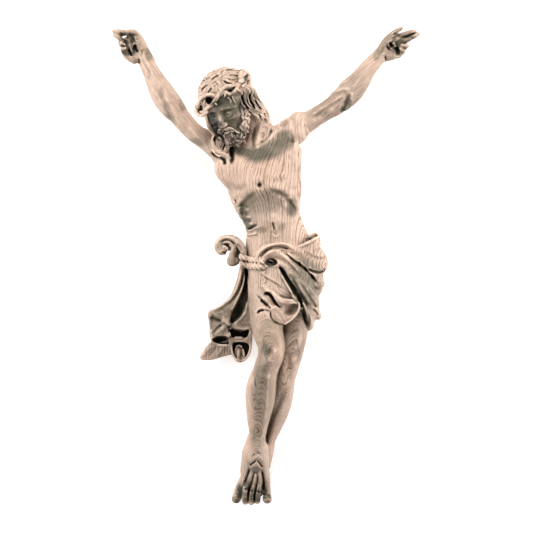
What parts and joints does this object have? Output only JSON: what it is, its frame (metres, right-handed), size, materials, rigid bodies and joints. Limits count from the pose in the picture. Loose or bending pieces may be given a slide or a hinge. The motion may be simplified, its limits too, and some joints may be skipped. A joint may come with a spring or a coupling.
{
  "type": "carved crucifix corpus figure",
  "caption": "Carved wooden corpus figure for a crucifix, with arms raised, crown of twigs, knotted loincloth and crossed feet, lying on its back.",
  "frame": {"origin": "middle of the flat planed on the back of the hips, where the figure lies against the cross", "axes": "+X towards the figure's left hand, +Y from the feet towards the hands, +Z out of the cross towards its front"},
  "size_m": [0.3108, 0.4776, 0.0968],
  "materials": {
    "wood": "bare sanded ash with open grain"
  },
  "bodies": {
    "root": {"corpus": "wood"}
  },
  "joints": []
}
